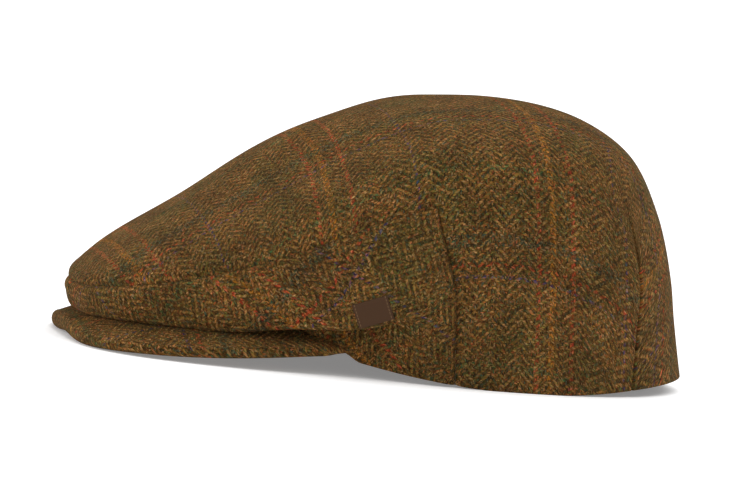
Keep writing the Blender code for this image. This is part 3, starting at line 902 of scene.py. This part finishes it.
def herringbone(shade, down_yarns, over_yarns):
    """Both yarns at a place of the weave, 1 where the crosswise one is on top, and its height."""
    warp = shade.math("FLOOR", over_yarns)
    weft = shade.math("FLOOR", down_yarns)
    in_warp = shade.math("FRACT", over_yarns)
    in_weft = shade.math("FRACT", down_yarns)
    odd = shade.math("FLOORED_MODULO", shade.math("FLOOR", shade.math("DIVIDE", warp, ENDS)), 2.0)
    way = shade.math("MULTIPLY_ADD", odd, -2.0, 1.0)
    stepped = shade.math("ADD", weft, shade.math("MULTIPLY", odd, FLOAT))
    twill = shade.math("FLOORED_MODULO", shade.math("MULTIPLY_ADD", warp, way, stepped), 2 * FLOAT)
    weft_up = shade.math("GREATER_THAN", twill, FLOAT - 0.5)

    warp_float = shade.math("DIVIDE", shade.math("ADD", twill, in_weft), FLOAT)
    even_float = shade.math("ADD", shade.math("SUBTRACT", twill, FLOAT), in_warp)
    odd_float = shade.math("ADD", shade.math("SUBTRACT", 2 * FLOAT - 1, twill), in_warp)
    weft_float = shade.math("DIVIDE", shade.choose(odd, even_float, odd_float), FLOAT)
    run = shade.choose(weft_up, warp_float, weft_float)
    across = shade.choose(weft_up, in_warp, in_weft)
    arched = shade.math("SINE", shade.math("MULTIPLY", run, math.pi))
    arch = shade.math("MULTIPLY_ADD", arched, YARN_ARCH, 1 - YARN_ARCH)
    return warp, weft, weft_up, shade.math("MULTIPLY", cylinder(shade, across), arch)


def wandered(shade, vector, scale, reach):
    """The vector, moved about by a soft noise of this scale."""
    inputs = {"Vector": vector, "Scale": scale, "Detail": 1.0}
    noise = shade.node("ShaderNodeTexNoise", inputs).outputs["Color"]
    centred = shade.vector("SUBTRACT", {0: noise, 1: (0.5, 0.5, 0.5)})
    moved = shade.vector("SCALE", {0: centred, "Scale": reach})
    return shade.vector("ADD", {0: vector, 1: moved})


def woven_yarns(shade, turned, placed, across_shift, along_shift):
    """The woven colour, 1 where a crosswise yarn is on top, and the height of the one on top."""
    down, over = shade.split(placed)
    down_yarns = shade.math("MULTIPLY", down, 1 / YARN)
    over_yarns = shade.math("MULTIPLY", over, 1 / YARN)
    warp, weft, weft_up, height = herringbone(shade, down_yarns, over_yarns)
    warp_colour = shade.ramp(yarn_draw(shade, warp, down_yarns, DARK_DRAW), DARK_YARN)
    weft_colour = shade.ramp(yarn_draw(shade, weft, over_yarns, LIGHT_DRAW), LIGHT_YARN)
    worn = shade.range(shade.noise(turned, WEAR_SCALE, 1.0), *WEAR)
    over_place = shade.math("ADD", over, along_shift)
    down_place = shade.math("ADD", down, across_shift)
    warp_colour = striped(shade, over_place, LENGTHWISE, LENGTHWISE_PANE, worn, warp_colour)
    weft_colour = striped(shade, down_place, CROSSWISE, CROSSWISE_PANE, worn, weft_colour)
    return shade.mix(weft_up, warp_colour, weft_colour), weft_up, height


def loose_fibres(shade, placed, weft_up):
    """Colours and tones of the fibres that lie along the yarns."""
    down, over = shade.split(placed)
    along = shade.math("MULTIPLY", shade.choose(weft_up, down, over), FIBRES_ALONG)
    across = shade.math("MULTIPLY", shade.choose(weft_up, over, down), FIBRES_ACROSS)
    inputs = {"Vector": shade.join(along, across), "Scale": 1.0}
    cells = shade.node("ShaderNodeTexVoronoi", inputs).outputs["Color"]
    parts = shade.node("ShaderNodeSeparateColor", {"Color": cells})
    tones = shade.range(parts.outputs["Green"], 0.0, 1.0, *FIBRE_TONES)
    return shade.ramp(parts.outputs["Red"], FIBRES), tones


def tweed(name, grain, across_shift, along_shift):
    """Herringbone tweed. The grain turns the weave on the cloth, and the shifts move its overcheck."""
    shade = Shading(name)
    inputs = {"Vector": shade.cloth(), "Angle": math.radians(grain)}
    turned = shade.node("ShaderNodeVectorRotate", inputs, rotation_type="Z_AXIS").outputs[0]
    placed = wandered(shade, wandered(shade, turned, *YARN_DRIFT), *YARN_WOBBLE)
    woven, weft_up, height = woven_yarns(shade, turned, placed, across_shift, along_shift)
    fibres, fibre_tones = loose_fibres(shade, placed, weft_up)
    felted = shade.mix(FELTED, woven, fibres)

    # Lighter and darker fibres, painted shade at the feet of the round yarns, and large soft patches
    patches = shade.range(shade.noise(turned, PATCH_SCALE, 3.0), *PATCHES)
    # Painted shade: each yarn's colour darkens from its top towards its foot
    depth = shade.math("MULTIPLY_ADD", height, *PAINTED_YARN_SHADE)
    tone = shade.math("MULTIPLY", shade.math("MULTIPLY", patches, fibre_tones), depth)
    toned = shade.mix(1.0, felted, shade.join(tone, tone, tone), "MULTIPLY")
    greener = shade.range(shade.noise(turned, GREEN_SCALE, 2.0), *GREENER)
    colour = shade.mix(greener, toned, shade.mix(1.0, toned, GREEN_TINT, "MULTIPLY"))

    nap = shade.noise(placed, NAP_SCALE, 3.0, 0.6)
    bumpy = shade.math("MULTIPLY_ADD", nap, NAP_RISE, height)
    return shade.finish({
        "Base Color": colour,
        "Roughness": shade.range(nap, *NAP_ROUGHNESS),
        "Normal": shade.bump(bumpy, 0.9, WEAVE_RELIEF),
        "Sheen Weight": 0.05,
        "Sheen Roughness": 0.6,
        "Sheen Tint": (0.85, 0.50, 0.22, 1.0),
        "Specular IOR Level": 0.05,
    })


# The tab's ribbon and its stitches
RIBBON_DARK = (0.036, 0.016, 0.007, 1.0)
RIBBON_LIGHT = (0.070, 0.034, 0.016, 1.0)
RIBBON_WORN = (0.105, 0.055, 0.028, 1.0)
RIBBON_RELIEF = 0.00012
RIB_PITCH = 0.00042
PICK_PITCH = 0.00055
STITCH_COLOUR = (0.150, 0.085, 0.042, 1.0)
STITCH_INSET = 0.0009
STITCH_WIDTH = 0.00030
STITCH_PITCH = 0.0013
STITCH_LENGTH = 0.65 * STITCH_PITCH


def ribbon():
    """The tab's tight ribbed weave, with a row of stitches down either end."""
    shade = Shading("woven_tab")
    flat = shade.cloth()
    along, up = shade.split(flat)
    ribs = shade.math("SINE", shade.math("MULTIPLY", up, 2 * math.pi / RIB_PITCH))
    picks = shade.math("SINE", shade.math("MULTIPLY", along, 2 * math.pi / PICK_PITCH))
    weave = shade.math("MULTIPLY_ADD", shade.math("MULTIPLY", ribs, picks), 0.5, 0.5)
    worn = shade.noise(flat, 900.0, 3.0)
    base = shade.mix(weave, RIBBON_DARK, RIBBON_LIGHT)
    face = shade.mix(shade.math("MULTIPLY", worn, 0.35), base, RIBBON_WORN)

    from_row = shade.math("SUBTRACT", shade.math("ABSOLUTE", along), LABEL_LENGTH / 2 - STITCH_INSET)
    in_row = shade.math("LESS_THAN", shade.math("ABSOLUTE", from_row), STITCH_WIDTH / 2)
    along_stitch = shade.math("FLOORED_MODULO", up, STITCH_PITCH)
    on_stitch = shade.math("LESS_THAN", along_stitch, STITCH_LENGTH)
    stitched = shade.math("MULTIPLY", in_row, on_stitch)
    raised = shade.math("MULTIPLY_ADD", stitched, 1.5, weave)
    return shade.finish({
        "Base Color": shade.mix(stitched, face, STITCH_COLOUR),
        "Roughness": shade.range(worn, 0.3, 0.7, 0.75, 0.92),
        "Specular IOR Level": 0.15,
        "Normal": shade.bump(raised, 0.7, RIBBON_RELIEF),
    })


# The scene round the cap

SENSOR = 36.0                # mm
LENS = 301.3
VIEW_SIDEWAYS = 12.0         # degrees round from the left side towards the front
VIEW_UP = 5.5
VIEW_DISTANCE = 2.5
AIM = (-0.0251, 0.0544)      # the picture's middle, right and up from the frame's origin


def tipped(vector):
    """A direction of the wearer's frame, as it lies on the tipped cap."""
    return Matrix.Rotation(math.radians(REST_TILT), 3, "X") @ vector


def add_camera():
    """Looks at the cap's left side from a little in front and above."""
    sideways, up = math.radians(VIEW_SIDEWAYS), math.radians(VIEW_UP)
    back = Vector((math.cos(sideways) * math.cos(up), -math.sin(sideways) * math.cos(up), math.sin(up)))
    right = Vector((math.sin(sideways), math.cos(sideways), 0))
    above = back.cross(right)
    place = right * AIM[0] + above * AIM[1] + back * VIEW_DISTANCE
    turn = Matrix([tipped(right), tipped(above), tipped(back)]).transposed()
    camera = add_object("camera", bpy.data.cameras.new("camera"))
    camera.data.sensor_width = SENSOR
    camera.data.lens = LENS
    camera.data.clip_end = 100
    camera.matrix_world = Matrix.Translation(tipped(place) + Vector(REST_SHIFT)) @ turn.to_4x4()
    bpy.context.scene.camera = camera


def add_sun(name, come_from, strength, spread_angle):
    """Soft, even light from a large panel far away."""
    light = bpy.data.lights.new(name, "SUN")
    light.energy = strength
    light.angle = math.radians(spread_angle)
    toward = -Vector(come_from)
    add_object(name, light).rotation_euler = toward.to_track_quat("-Z", "Y").to_euler()


def add_floor():
    """A pale floor that glows a little, so that shadows on it stay light."""
    corners = [(x, y, 0) for x, y in ((-15, -15), (15, -15), (15, 15), (-15, 15))]
    mesh = bpy.data.meshes.new("floor")
    mesh.from_pydata(corners, [], [(0, 1, 2, 3)])
    mesh.materials.append(Shading("pale_floor").finish({
        "Base Color": (0.93, 0.93, 0.93, 1.0),
        "Roughness": 0.9,
        "Emission Color": (1.0, 1.0, 1.0, 1.0),
        "Emission Strength": 0.22,
    }))
    floor = add_object("floor", mesh)


def add_daylight(strength):
    """Even white light from all round."""
    world = bpy.data.worlds.new("studio")
    world.use_nodes = True
    sky = world.node_tree.nodes["Background"]
    sky.inputs["Color"].default_value = (1.0, 1.0, 1.0, 1.0)
    sky.inputs["Strength"].default_value = strength
    bpy.context.scene.world = world


def main():
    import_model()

    crown_tweed = tweed("crown_tweed", grain=0.0, across_shift=0.0, along_shift=0.0)
    panel_tweed = tweed("panel_tweed", grain=45.0, across_shift=0.0455, along_shift=-0.0545)
    visor_tweed = tweed("visor_tweed", grain=90.0, across_shift=0.020, along_shift=0.010)
    pieces = {
        "crown": crown(crown_tweed),
        "side_panel_left": side_panel("panel_cloth_left", 1, panel_tweed),
        "side_panel_right": side_panel("panel_cloth_right", -1, panel_tweed),
        "visor": visor(visor_tweed),
        "label": label(ribbon()),
    }
    for node, piece in pieces.items():
        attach(piece, "root")
        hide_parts(node)

    add_floor()
    add_daylight(strength=0.50)
    add_sun("overhead", (-0.08, 0.35, 1.0), strength=2.3, spread_angle=70.0)
    add_sun("fill", (0.20, -1.2, 0.50), strength=1.0, spread_angle=45.0)
    bpy.context.scene.view_settings.view_transform = "Standard"
    add_camera()


main()
